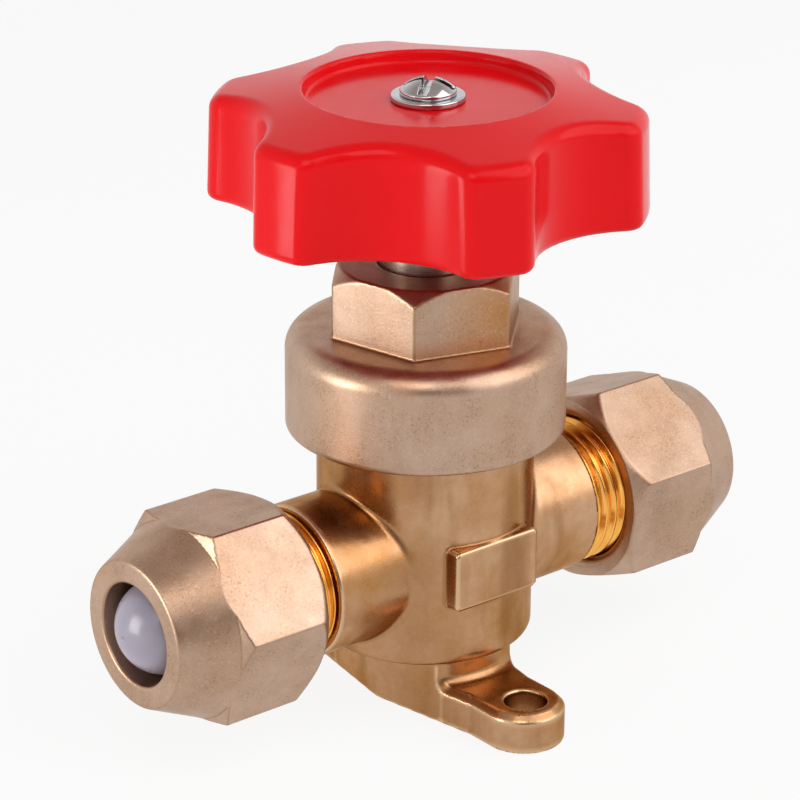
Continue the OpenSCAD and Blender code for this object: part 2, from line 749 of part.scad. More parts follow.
// A pan head: a short drum with a domed top, and a cross cut into it
module knob_screw() {
    head_r = screw_head_d/2;
    drum_h = screw_head_h - screw_slot_depth;
    dome_r = (head_r*head_r + screw_slot_depth*screw_slot_depth)/(2*screw_slot_depth);
    color(CHROME) translate([0, 0, washer_top_z]) difference() {
        rotate_extrude() {
            translate([0, -screw_l]) square([screw_d/2, screw_l + drum_h/2]);
            square([head_r, drum_h]);
            intersection() {
                translate([0, screw_head_h - dome_r]) circle(dome_r);
                square([head_r, screw_head_h]);
            }
        }
        for (turn = [0, 90]) rotate(screw_slot_turn + turn)
            translate([0, 0, screw_head_h])
                cube([screw_head_d + over, screw_slot_w, 2*screw_slot_depth], center = true);
    }
}

// A nut on the right port: a hexagon turned down to a long cone at its mouth
module flare_nut(turn) {
    corner_r = nut_af/2/cos(30);
    front_x = port_reach - (corner_r - mouth_face_d/2)/tan(nut_cone_angle);
    step = corner_r - nut_af/2;
    bore_r = mouth_bore/2;
    thread_r = nut_thread_d/2;
    color(BLASTED_BRASS) along_port() difference() {
        intersection() {
            translate([0, 0, nut_back_x]) linear_extrude(nut_l) rotate(turn) hexagon(nut_af);
            rotate_extrude() rounded(
                [[0, nut_back_x], [nut_af/2, nut_back_x], [corner_r, nut_back_x + step],
                 [corner_r, front_x], [mouth_face_d/2, port_reach], [0, port_reach]],
                [0, 0, 0, 0, mouth_round, 0]);
        }
        rotate_extrude() polygon([
            [0, nut_back_x - over], [thread_r + nut_lead + over, nut_back_x - over],
            [thread_r, nut_back_x + nut_lead], [thread_r, nut_thread_end_x],
            [bore_r, cone_x], [bore_r, port_reach - edge],
            [bore_r + edge + over, port_reach + over], [0, port_reach + over]]);
    }
}
module flare_nut_right() flare_nut(right_nut_turn);
module flare_nut_left() mirror([1, 0, 0]) flare_nut(left_nut_turn);

// A thimble whose flared rim lies between the stub's cone and the nut's cone
module flare_plug() {
    inner_x = nose_x + flare_gap_x;
    rim_r = nose_d/2 + plug_rim_l;
    rim_x = inner_x - plug_rim_l;
    wall = plug_wall/sqrt(2);
    shoulder_x = cone_x + mouth_bore/2 - plug_nose_r - flare_gap_x;
    hollow_r = plug_nose_r - plug_wall;
    color(LILAC_PLASTIC) along_port() rotate_extrude() difference() {
        union() {
            polygon([[0, inner_x], [nose_d/2, inner_x], [rim_r, rim_x],
                     [rim_r + wall, rim_x + wall], [plug_nose_r, shoulder_x],
                     [plug_nose_r, plug_centre_x], [0, plug_centre_x]]);
            intersection() {
                translate([0, plug_centre_x]) circle(plug_nose_r);
                translate([0, plug_centre_x]) square(plug_nose_r);
            }
        }
        translate([0, inner_x - over]) square([hollow_r, plug_centre_x - inner_x + over]);
        intersection() {
            translate([0, plug_centre_x]) circle(hollow_r);
            translate([0, plug_centre_x]) square(hollow_r);
        }
    }
}
module flare_plug_right() flare_plug();
module flare_plug_left() mirror([1, 0, 0]) flare_plug();

valve_body();
bonnet();
clamp_ring();
diaphragm_lower();
diaphragm_middle();
diaphragm_upper();
thrust_pad();
plunger();
seat_disc();
return_spring();
spindle();
spindle_seal();
knob();
knob_washer();
knob_screw();
flare_nut_left();
flare_nut_right();
flare_plug_left();
flare_plug_right();
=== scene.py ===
"""Looks of the refrigerant shut-off valve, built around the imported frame.

Lengths are in millimetres and angles in degrees until a mesh, lamp or camera is made.
"""

import json
import math

import bpy
import numpy as np
from mathutils import Matrix, Vector


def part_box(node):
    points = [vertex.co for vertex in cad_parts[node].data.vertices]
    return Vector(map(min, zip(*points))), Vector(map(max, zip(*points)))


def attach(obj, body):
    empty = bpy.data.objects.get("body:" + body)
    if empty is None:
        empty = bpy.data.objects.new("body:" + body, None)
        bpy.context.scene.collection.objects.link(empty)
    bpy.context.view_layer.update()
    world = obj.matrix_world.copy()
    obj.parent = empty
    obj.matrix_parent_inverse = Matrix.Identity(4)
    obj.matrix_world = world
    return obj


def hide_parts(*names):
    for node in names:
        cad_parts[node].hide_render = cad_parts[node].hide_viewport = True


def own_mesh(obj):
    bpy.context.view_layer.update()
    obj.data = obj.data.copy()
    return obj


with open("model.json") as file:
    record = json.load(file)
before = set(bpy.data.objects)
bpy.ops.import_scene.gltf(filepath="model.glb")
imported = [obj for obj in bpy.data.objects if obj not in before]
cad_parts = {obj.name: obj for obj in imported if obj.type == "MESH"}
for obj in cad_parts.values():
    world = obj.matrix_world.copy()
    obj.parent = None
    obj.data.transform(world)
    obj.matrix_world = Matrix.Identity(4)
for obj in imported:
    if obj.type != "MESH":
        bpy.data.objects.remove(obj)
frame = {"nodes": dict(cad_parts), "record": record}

MM = 0.001
LEAN_45 = math.cos(math.radians(45))
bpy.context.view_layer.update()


def box_mm(node):
    """The corners of a frame node in millimetres."""
    low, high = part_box(node)
    return np.array(low) / MM, np.array(high) / MM


BODY_LOW, BODY_HIGH = box_mm("valve_body")
BONNET_LOW, BONNET_HIGH = box_mm("bonnet")
KNOB_LOW, KNOB_HIGH = box_mm("knob")
NUT_LOW, NUT_HIGH = box_mm("flare_nut_right")
PLUG_LOW, PLUG_HIGH = box_mm("flare_plug_right")
SCREW_LOW, SCREW_HIGH = box_mm("knob_screw")
WASHER_LOW, WASHER_HIGH = box_mm("knob_washer")
CLAMP_LOW, CLAMP_HIGH = box_mm("clamp_ring")

# Ports, arms and flare stubs
PORT_Z = (NUT_LOW[2] + NUT_HIGH[2]) / 2
ARM_R = 9.85
ARM_REACH = 21.3
ARM_EDGE = 0.45
STUB_REACH = BODY_HIGH[0]
STUB_CORE_R = 8.42
NOSE_R = 5.6
PORT_BORE_R = 5.0
PORT_BORE_L = 9.0
WAY_R = 4.1
THREAD_START = 21.6
THREAD_R = 9.525
THREAD_DEPTH = 0.9
THREAD_PITCH = 1.5875

# Barrel, neck and what is bored into them
BARREL_R = 13.75
BARREL_LOW = 8.6
BARREL_ROUND = 1.4
NECK_R = 15.0
NECK_LOW = 37.4
RIM_Z = BODY_HIGH[2]
CHAMBER_R = 10.8
CHAMBER_LOW = RIM_Z - 21.0
SEAT_Z = CHAMBER_LOW + 6.0
SEAT_BORE_R = 4.5
SEAT_POST_R = 6.9
INLET_Z = PORT_Z - 5.5
OUTLET_Z = CHAMBER_LOW + 3.0
FORGING_FILLET = 0.7

# Raised pad on the front of the barrel
PAD_HALF_W = 6.6
PAD_HALF_H = 4.0
PAD_Z = 21.0
PAD_Y = -BARREL_R - 0.6

# Foot with its pedestal
FOOT_T = 5.2
FOOT_HALF_W = 7.9
EAR_HALF_W = 5.3
EAR_START = 15.5
EAR_ROUND_Y = BODY_HIGH[1] - EAR_HALF_W
HOLE_Y = 20.0
HOLE_R = 2.7
FOOT_CHAMFER = 0.9
FOOT_ROUND = 0.5
PEDESTAL_R = 11.7
PEDESTAL_FILLET = 1.3

# Bonnet
COLLAR_R = BONNET_HIGH[0]
COLLAR_LOW = BONNET_LOW[2] - 0.4
COLLAR_TOP = 49.5
COLLAR_ROUND = 2.8
COLLAR_FOOT_ROUND = 0.7
HEX_TOP = BONNET_HIGH[2]
HEX_ACROSS = 22.0
HEX_TURN = 13.5
SHANK_R = 6.0
FIT = 0.05

# Knob
KNOB_TURN = 8.8
LOBES = 6
KNOB_FOOT_R = 27.33
KNOB_DRAFT = 0.5
KNOB_FOOT_Z = KNOB_LOW[2] - 0.1
KNOB_TOP_Z = KNOB_HIGH[2] + 0.1
KNOB_CROWN = 2.0
KNOB_ROUND = 1.9
KNOB_FOOT_ROUND = 1.0
SCALLOP_R = 13.8
SCALLOP_X = 35.2
LOBE_CORNER = 2.6
RECESS_R = 15.3
RECESS_Z = WASHER_LOW[2]
RECESS_SLOPE = 82.0
RECESS_ROUND = 0.35
RECESS_FILLET = 0.5
KNOB_WALL = 2.6
HOLLOW_R = 23.6
HUB_R = 8.5
RIB_T = 2.0

# Flare nuts
NUT_ACROSS = 24.4
NUT_BACK = NUT_LOW[0] - 0.1
NUT_REACH = {"left": 45.4, "right": 46.0}
NUT_HEX_END = 38.5
NUT_CONE_SLOPE = 24.5
NUT_CORNER_SLOPE = 60.0
MOUTH_FACE_R = 9.3
MOUTH_ROUND = 0.5
MOUTH_R = 6.5
MOUTH_L = 5.5
FLARE_SEAT = NUT_HIGH[0] - MOUTH_L
NUT_LEAD = 1.0
NUT_TURN = {"left": -5.4, "right": -18.4}

# Washer and screw on top of the knob
SCREW_HEAD_R = SCREW_HIGH[0]
SCREW_TOP = SCREW_HIGH[2]
SCREW_HEAD_LOW = WASHER_HIGH[2]
SCREW_R = 2.0
SCREW_DOME = 1.5
SLOT_W = 1.3
SLOT_DEPTH = 1.4
SLOT_TURN = 39.0


# Fields: each is negative inside the metal and about a distance near its surface

def common(a, b, edge=0.0, lean=0.0):
    """What both fields hold, with a round edge where they meet.

    lean is the cosine of the angle between the directions in which the two surfaces face.
    """
    if edge == 0:
        return np.maximum(a, b)
    u = a + edge
    v = b + edge
    on_round = (u > v * lean) & (v > u * lean)
    away = np.sqrt(np.maximum(u * u + v * v - 2 * lean * u * v, 0) / (1 - lean * lean))
    return np.where(on_round, away - edge, np.maximum(a, b))


def join(a, b, fillet=0.0, lean=0.0):
    """Both fields together, with a round fillet where they meet."""
    return -common(-a, -b, fillet, lean)


def cut(a, b, edge=0.0, lean=0.0):
    """The first field without the second, with a round edge."""
    return common(a, -b, edge, lean)


def slanted(out, up, angle):
    """A face that falls outwards at an angle, through the place where out and up are zero."""
    tilt = math.radians(angle)
    return out * math.sin(tilt) + up * math.cos(tilt)


def drum(r, h, radius, low, high, low_edge=0.0, high_edge=0.0):
    """A cylinder between two heights along its axis."""
    return common(common(r - radius, low - h, low_edge), h - high, high_edge)


def hexagon(u, v, across, turn, edge):
    """A hexagon whose first flat faces along u, turned towards v."""
    sides = None
    for k in range(3):
        angle = math.radians(turn + 60 * k)
        side = np.abs(u * math.cos(angle) + v * math.sin(angle)) - across / 2
        sides = side if sides is None else common(sides, side, edge, math.cos(math.radians(60)))
    return sides


def way(x, y, z, start, end, radius):
    """A drilled way between two points of the plane y = 0."""
    run = np.array(end) - np.array(start)
    length = np.hypot(*run)
    along = ((x - start[0]) * run[0] + (z - start[1]) * run[1]) / length
    across = np.hypot(((x - start[0]) * run[1] - (z - start[1]) * run[0]) / length, y)
    return common(across - radius, np.abs(along - length / 2) - length / 2 - 1)


def foot_outline(x, y):
    """The lozenge with its two straight ears, seen from above."""
    slope = math.atan((FOOT_HALF_W - EAR_HALF_W) / EAR_START)
    u, v = np.abs(x), np.abs(y)
    tilted = u * math.cos(slope) + v * math.sin(slope) - FOOT_HALF_W * math.cos(slope)
    # The two sides on the left and on the right meet in a softened corner
    other = u * math.cos(slope) - v * math.sin(slope) - FOOT_HALF_W * math.cos(slope)
    lozenge = common(common(tilted, other, 0.5, math.cos(2 * slope)), v - EAR_START)
    ear = np.hypot(x, np.maximum(v - EAR_ROUND_Y, 0)) - EAR_HALF_W
    return np.minimum(lozenge, ear)


def body_field(x, y, z):
    """The forged body, with its ports, ways, seat and chamber."""
    r = np.hypot(x, y)
    rho = np.hypot(y, z - PORT_Z)
    side = np.abs(x)
    outline = foot_outline(x, y)
    chamfer = slanted(outline, z - FOOT_T + FOOT_CHAMFER, 45)
    foot = common(common(outline, z - FOOT_T), chamfer, 0.2, LEAN_45)
    column = common(r - PEDESTAL_R, z - BARREL_LOW - 2)
    foot = common(join(foot, column, PEDESTAL_FILLET), outline, 0.2)
    foot = common(foot, -z, FOOT_ROUND)
    barrel = drum(r, z, BARREL_R, BARREL_LOW, RIM_Z, BARREL_ROUND)
    arm = common(rho - ARM_R, side - ARM_REACH, ARM_EDGE)
    metal = join(join(barrel, arm, FORGING_FILLET), foot, 0.5)
    pad = common(np.abs(x) - PAD_HALF_W, np.abs(z - PAD_Z) - PAD_HALF_H, 0.7)
    pad = common(common(pad, PAD_Y - y, 0.35), y + BARREL_R / 2)
    metal = join(metal, pad, 0.3)
    metal = join(metal, drum(r, z, NECK_R, NECK_LOW, RIM_Z, 0.3, 0.3))
    cone = slanted(rho - NOSE_R, side - STUB_REACH, 45)
    stub = common(common(rho - STUB_CORE_R, side - STUB_REACH), cone, 0.2)
    metal = join(metal, stub, 0.3)
    chamber = drum(r, z, CHAMBER_R, CHAMBER_LOW, RIM_Z + 5)
    metal = cut(metal, cut(chamber, drum(r, z, SEAT_POST_R, 0, SEAT_Z, 0, 0.3)))
    metal = cut(metal, drum(r, z, SEAT_BORE_R, INLET_Z, SEAT_Z + 1), 0.2)
    way_x = STUB_REACH - PORT_BORE_L
    port = common(rho - PORT_BORE_R, way_x - side)
    inlet = way(x, y, z, (-way_x, PORT_Z), (0, INLET_Z), WAY_R)
    outlet = way(x, y, z, (way_x, PORT_Z), ((SEAT_POST_R + CHAMBER_R) / 2, OUTLET_Z), WAY_R)
    metal = cut(metal, port, 0.3)
    metal = cut(metal, np.minimum(inlet, outlet))
    hole = np.hypot(x, np.abs(y) - HOLE_Y) - HOLE_R
    return cut(metal, hole, 0.35)


def bonnet_field(x, y, z):
    """The collar with its hexagon, bored for the neck and the spindle."""
    r = np.hypot(x, y)
    collar = drum(r, z, COLLAR_R, COLLAR_LOW, COLLAR_TOP, COLLAR_FOOT_ROUND, COLLAR_ROUND)
    sides = hexagon(x, y, HEX_ACROSS, HEX_TURN, 0.35)
    head = common(common(sides, COLLAR_LOW + 1 - z), z - HEX_TOP, 0.25)
    turned_off = slanted(r - HEX_ACROSS / 2, z - HEX_TOP, 45)
    metal = join(collar, common(head, turned_off, 0.3, LEAN_45), 0.3)
    metal = cut(metal, drum(r, z, NECK_R + FIT, 0, CLAMP_HIGH[2]), 0.4)
    metal = cut(metal, drum(r, z, 9.9, 0, CLAMP_HIGH[2] + 1.5))
    metal = cut(metal, drum(r, z, 7.05, 0, CLAMP_HIGH[2] + 7.2))
    return cut(metal, drum(r, z, SHANK_R + FIT, 0, HEX_TOP + 5), 0.4)


def knob_field(x, y, z):
    """The six-lobed knob with its crown, recess and ribbed hollow."""
    r = np.hypot(x, y)
    sector = 2 * math.pi / LOBES
    turn = np.arctan2(y, x) - math.radians(KNOB_TURN)
    from_scallop = np.mod(turn, sector) - sector / 2
    from_lobe = np.mod(turn + sector / 2, sector) - sector / 2
    to_scallop = np.hypot(r * np.cos(from_scallop) - SCALLOP_X, r * np.sin(from_scallop))
    edge_z = KNOB_TOP_Z - KNOB_CROWN
    up = np.clip((z - KNOB_FOOT_Z) / (edge_z - KNOB_FOOT_Z), 0, 1)
    rim = r - KNOB_FOOT_R + KNOB_DRAFT * up
    lobe_r, lobe_s = KNOB_FOOT_R - LOBE_CORNER, SCALLOP_R + LOBE_CORNER
    lobe_lean = (SCALLOP_X ** 2 - lobe_r ** 2 - lobe_s ** 2) / (2 * lobe_r * lobe_s)
    outline = common(rim, SCALLOP_R - to_scallop, LOBE_CORNER, lobe_lean)
    slope = math.degrees(math.atan(KNOB_CROWN / (KNOB_FOOT_R - KNOB_DRAFT - RECESS_R)))
    crown = slanted(r - RECESS_R, z - KNOB_TOP_Z, slope)
    shell = common(outline, crown, KNOB_ROUND, math.sin(math.radians(slope)))
    shell = common(shell, KNOB_FOOT_Z - z, KNOB_FOOT_ROUND)
    wall = slanted(r - RECESS_R, KNOB_TOP_Z - z, RECESS_SLOPE)
    recess = common(wall, RECESS_Z - z, RECESS_FILLET, math.cos(math.radians(RECESS_SLOPE)))
    shell = cut(shell, recess, RECESS_ROUND, math.cos(math.radians(RECESS_SLOPE + slope)))
    hollow = common(r - HOLLOW_R, SCALLOP_R + KNOB_WALL - to_scallop, 0.8)
    hollow = common(hollow, HUB_R - r, 0.8)
    rib = np.abs(r * np.sin(from_lobe)) - RIB_T / 2
    between_ribs = common(common(hollow, -rib, 0.5), z - RECESS_Z + 4, 0.8)
    below_ribs = common(hollow, z - KNOB_FOOT_Z - 2)
    shell = cut(shell, join(between_ribs, below_ribs, 0.3), 0.4)
    shell = cut(shell, common(r - HUB_R, z - KNOB_FOOT_Z - 1), 0.3)
    socket = common(np.abs(x) - 4.05, np.abs(y) - 4.05)
    shell = cut(shell, common(socket, z - RECESS_Z + 2))
    return cut(shell, r - SCREW_R - 0.2)


def nut_field(side):
    """One flare nut: a hexagon turned down to a long cone, with a grooved bore."""
    sign = 1 if side == "right" else -1
    reach = NUT_REACH[side]
    hex_end_r = MOUTH_FACE_R + (reach - NUT_HEX_END) * math.tan(math.radians(NUT_CONE_SLOPE))
    cone_lean = math.cos(math.radians(90 - NUT_CONE_SLOPE))
    bore_r = THREAD_R + FIT

    def field(x, y, z):
        out = x * sign
        up = z - PORT_Z
        rho = np.hypot(y, up)
        sides = hexagon(-up, y, NUT_ACROSS, NUT_TURN[side], 0.35)
        cone = slanted(out - reach, rho - MOUTH_FACE_R, NUT_CONE_SLOPE)
        corners = slanted(out - NUT_HEX_END, rho - hex_end_r, NUT_CORNER_SLOPE)
        front = common(join(cone, corners), out - reach, MOUTH_ROUND, cone_lean)
        back = common(slanted(rho - NUT_ACROSS / 2, NUT_BACK - out, 45), NUT_BACK - out, 0.2, LEAN_45)
        metal = common(common(sides, front, 0.3, math.cos(math.radians(NUT_CONE_SLOPE))), back, 0.3)
        turn = np.arctan2(up, y) / (2 * math.pi)
        groove = 0.5 * wave(x / THREAD_PITCH - turn) * np.clip((out - NUT_BACK) / 2, 0, 1)
        bore = rho - bore_r - groove
        bore = common(bore, out - FLARE_SEAT + bore_r - MOUTH_R)
        seat = slanted(rho - MOUTH_R, out - FLARE_SEAT, 45)
        bore = join(common(common(seat, rho - bore_r - 0.2), out - FLARE_SEAT), bore)
        bore = join(bore, rho - MOUTH_R)
        lead = slanted(rho - bore_r - NUT_LEAD, out - NUT_BACK, 45)
        bore = join(bore, common(lead, out - NUT_BACK - 3))
        return cut(metal, bore, 0.35)

    return field


def wave(turns):
    """A round-topped wave between 0 and 1 that repeats each turn."""
    return 0.5 - 0.5 * np.cos(2 * math.pi * turns)


def screw_field(x, y, z):
    """A pan head with a cross cut into it, on its shank."""
    r = np.hypot(x, y)
    dome_r = (SCREW_HEAD_R ** 2 + SCREW_DOME ** 2) / (2 * SCREW_DOME)
    dome = np.sqrt(r ** 2 + (z - SCREW_TOP + dome_r) ** 2) - dome_r
    head = common(r - SCREW_HEAD_R, SCREW_HEAD_LOW - z, 0.15)
    metal = common(head, dome, 0.35, SCREW_HEAD_R / dome_r)
    for turn in (SLOT_TURN, SLOT_TURN + 90):
        angle = math.radians(turn)
        across = np.abs(y * math.cos(angle) - x * math.sin(angle)) - SLOT_W / 2
        along = np.abs(x * math.cos(angle) + y * math.sin(angle)) - SCREW_HEAD_R - 1
        slot = common(common(across, SCREW_TOP - SLOT_DEPTH - z, 0.2), along)
        metal = cut(metal, slot, 0.15)
    return join(metal, drum(r, z, SCREW_R, SCREW_LOW[2], SCREW_HEAD_LOW + 0.3, 0.2))


# Meshes

def surface(field, low, high, step):
    """Points and quads where a field is zero, one point in each cell that the surface crosses."""
    low = np.array(low, float) - 2 * step
    counts = np.ceil((np.array(high, float) + 2 * step - low) / step).astype(int) + 1
    axes = [low[i] + step * np.arange(counts[i]) for i in range(3)]
    values = field(*np.meshgrid(*axes, indexing="ij"))
    cell_ids, crossings, quads = [], [], []
    for axis in range(3):
        u, v = (axis + 1) % 3, (axis + 2) % 3
        near = np.take(values, range(counts[axis] - 1), axis)
        far = np.take(values, range(1, counts[axis]), axis)
        edges = np.argwhere((near < 0) != (far < 0))
        index = tuple(edges.T)
        a, b = near[index], far[index]
        crossing = edges.astype(float)
        crossing[:, axis] += a / (a - b)
        corners = []
        for du, dv in ((0, 0), (1, 0), (1, 1), (0, 1)):
            cell = edges.copy()
            cell[:, u] -= du
            cell[:, v] -= dv
            corners.append(np.ravel_multi_index(tuple(cell.T), counts))
            cell_ids.append(corners[-1])
            crossings.append(crossing)
        quad = np.stack(corners, 1)
        inward = a > b
        quad[inward] = quad[inward][:, ::-1]
        quads.append(quad)
    ids, inverse = np.unique(np.concatenate(cell_ids), return_inverse=True)
    crossings = low + step * np.concatenate(crossings)
    points = corner_points(field, crossings, inverse, step)
    quads = np.searchsorted(ids, np.concatenate(quads))
    for _ in range(3):
        slope, value = gradient(field, points, step * 0.2)
        pull = value / np.maximum((slope ** 2).sum(1), 0.2)
        points -= slope * np.clip(pull, -step, step)[:, None]
    return points, quads


def corner_points(field, crossings, cell, step):
    """The point of each cell that lies best on the planes through its crossings, so edges stay crisp."""
    share = np.bincount(cell)
    centre = np.stack([np.bincount(cell, crossings[:, i]) / share for i in range(3)], 1)
    normals, _ = gradient(field, crossings, step * 0.05)
    normals /= np.maximum(np.linalg.norm(normals, axis=1, keepdims=True), 1e-9)
    height = (normals * (crossings - centre[cell])).sum(1)
    planes = np.empty((len(centre), 3, 3))
    pull = np.empty((len(centre), 3, 1))
    for i in range(3):
        pull[:, i, 0] = np.bincount(cell, normals[:, i] * height)
        for j in range(3):
            planes[:, i, j] = np.bincount(cell, normals[:, i] * normals[:, j])
    planes += 0.05 * np.eye(3) * share[:, None, None]
    move = np.linalg.solve(planes, pull)[:, :, 0]
    return centre + np.clip(move, -0.6 * step, 0.6 * step)


def gradient(field, points, reach):
    """The field's slope and value at each point."""
    slope = np.empty_like(points)
    for i in range(3):
        offset = np.zeros(3)
        offset[i] = reach
        slope[:, i] = (field(*(points + offset).T) - field(*(points - offset).T)) / (2 * reach)
    return slope, field(*points.T)


def bend(field, points, reach):
    """How far the surface bends within reach: above 0 on edges, below 0 in corners."""
    value = field(*points.T)
    total = np.zeros(len(points))
    for i in range(3):
        offset = np.zeros(3)
        offset[i] = reach
        total += field(*(points + offset).T) + field(*(points - offset).T) - 2 * value
    return np.clip(total / reach, -1, 1)


def mesh_object(name, points, faces, normals=None):
    """A smooth-shaded object from points in millimetres."""
    mesh = bpy.data.meshes.new(name)
    mesh.from_pydata((np.asarray(points) * MM).tolist(), [], np.asarray(faces).tolist())
    mesh.polygons.foreach_set("use_smooth", [True] * len(mesh.polygons))
    if normals is not None:
        lengths = np.maximum(np.linalg.norm(normals, axis=1, keepdims=True), 1e-9)
        mesh.normals_split_custom_set_from_vertices((normals / lengths).tolist())
    mesh.update()
    made = bpy.data.objects.new(name, mesh)
    bpy.context.scene.collection.objects.link(made)
    return made


def field_object(name, field, low, high, step, bend_reach):
    """An object of a field's surface, with its bend stored for the painted shade in its corners and the
    tone of its edges.
    """
    points, quads = surface(field, low, high, step)
    normals, _ = gradient(field, points, step * 0.5)
    made = mesh_object(name, points, quads, normals)
    surface_bend = made.data.attributes.new("surface_bend", "FLOAT", "POINT")
    surface_bend.data.foreach_set("value", bend(field, points, bend_reach).astype(np.float32))
    return made


def lathe(name, outline, sides, axis="z", centre=(0, 0), mirrored=False, closed=False):
    """Turns an outline of (place along the axis, radius) points about its axis."""
    outline = np.array(outline, float)
    angles = 2 * math.pi * np.arange(sides) / sides
    along = np.repeat(outline[:, 0], sides)
    first = np.outer(outline[:, 1], np.cos(angles)).ravel()
    second = np.outer(outline[:, 1], np.sin(angles)).ravel()
    rings = len(outline)
    faces = []
    for i in range(rings if closed else rings - 1):
        for k in range(sides):
            j, m = (i + 1) % rings, (k + 1) % sides
            faces.append((i * sides + k, i * sides + m, j * sides + m, j * sides + k))
    if axis == "z":
        points = np.stack([first + centre[0], second + centre[1], along], 1)
    else:
        points = np.stack([along, first + centre[0], second + centre[1]], 1)
    if mirrored:
        points[:, 0] *= -1
        faces = [face[::-1] for face in faces]
    return mesh_object(name, points, faces)


def arc(centre, radius, start, end, steps):
    """Points of an arc in the (along, radius) plane."""
    angles = np.radians(np.linspace(start, end, steps))
    return [(centre[0] + radius * math.cos(a), centre[1] + radius * math.sin(a)) for a in angles]


def thread_sleeve(side):
    """The right-hand flare thread, as a sleeve round the stub's core."""
    sign = 1 if side == "right" else -1
    end = STUB_REACH - (THREAD_R - THREAD_DEPTH - NOSE_R)
    inner = STUB_CORE_R - 0.3
    sides = 120
    columns = np.arange(THREAD_START, end, THREAD_PITCH / 14)
    columns = np.concatenate([[THREAD_START], columns, [end, end]])
    turns = np.arange(sides) / sides
    x, turn = np.meshgrid(columns, turns, indexing="ij")
    flank = np.abs(2 * np.mod(sign * x / THREAD_PITCH - turn, 1) - 1)
    height = THREAD_DEPTH * np.clip(1.15 * flank - 0.05, 0, 1)
    radius = THREAD_R - THREAD_DEPTH + height
    start_slope = THREAD_R - 0.45 + (x - THREAD_START)
    end_slope = THREAD_R - THREAD_DEPTH + (end - x) * 1.3
    radius = np.minimum(radius, np.minimum(start_slope, end_slope))
    radius[0] = inner
    radius[-1] = inner
    angle = 2 * math.pi * turn
    points = np.stack([sign * x, radius * np.cos(angle), PORT_Z + radius * np.sin(angle)], -1)
    points = points.reshape(-1, 3)
    rings = len(columns)
    faces = []
    for i in range(rings):
        for k in range(sides):
            j, m = (i + 1) % rings, (k + 1) % sides
            quad = (i * sides + k, i * sides + m, j * sides + m, j * sides + k)
            faces.append(quad[::-1] if sign > 0 else quad)
    return mesh_object("flare_thread_" + side, points, faces)


# Materials

def shader(name):
    """A new material with its tree and shader node."""
    material = bpy.data.materials.new(name)
    material.use_nodes = True
    tree = material.node_tree
    return material, tree, tree.nodes["Principled BSDF"]


def add(tree, kind, inputs=None, **settings):
    """A shader node with its settings, and its inputs linked or set."""
    made = tree.nodes.new("ShaderNode" + kind)
    for name, value in settings.items():
        setattr(made, name, value)
    for key, value in (inputs or {}).items():
        if isinstance(value, bpy.types.NodeSocket):
            tree.links.new(value, made.inputs[key])
        else:
            made.inputs[key].default_value = value
    return made


def noise(tree, size, detail=3.0, roughness=0.55, kind="Fac", stretch=None):
    """Noise whose features are about size millimetres across, in the object's own space."""
    place = add(tree, "TexCoord").outputs["Object"]
    if stretch:
        place = add(tree, "Mapping", {"Vector": place, "Scale": stretch}).outputs["Vector"]
    made = add(tree, "TexNoise", {"Vector": place, "Scale": 1 / (size * MM), "Detail": detail,
                                  "Roughness": roughness})
    return made.outputs[kind]


def ramp(tree, value, low, high, to_low=0.0, to_high=1.0):
    """A value moved from one range to another and held inside it."""
    made = add(tree, "MapRange", {"Value": value, "From Min": low, "From Max": high,
                                  "To Min": to_low, "To Max": to_high})
    return made.outputs["Result"]


def mix(tree, factor, first, second, blend="MIX"):
    """Two colours mixed by a factor."""
    made = add(tree, "Mix", data_type="RGBA", blend_type=blend)
    sockets = {"Factor": made.inputs[0], "A": made.inputs[6], "B": made.inputs[7]}
    for key, value in (("Factor", factor), ("A", first), ("B", second)):
        if isinstance(value, bpy.types.NodeSocket):
            tree.links.new(value, sockets[key])
        elif key == "Factor":
            sockets[key].default_value = value
        else:
            sockets[key].default_value = (*value, 1.0) if len(value) == 3 else value
    return made.outputs[2]


def bump(tree, height, depth, strength, base=None):
    """A bump of so many millimetres."""
    inputs = {"Height": height, "Distance": depth * MM, "Strength": strength}
    if base is not None:
        inputs["Normal"] = base
    return add(tree, "Bump", inputs).outputs["Normal"]


def surface_bend(tree, low, high):
    """How strongly a point lies on an edge, or in a corner for values below zero."""
    value = add(tree, "Attribute", attribute_name="surface_bend").outputs["Fac"]
    return ramp(tree, value, low, high)


def patches(tree, base, colour, places):
    """Soft round patches of a colour, each given by its place, radius and strength."""
    place = add(tree, "TexCoord").outputs["Object"]
    for x, y, z, radius, strength in places:
        centre = (x * MM, y * MM, z * MM)
        away = add(tree, "VectorMath", {0: place, 1: centre}, operation="DISTANCE").outputs["Value"]
        base = mix(tree, ramp(tree, away, radius * MM, 0, 0, strength), base, colour)
    return base


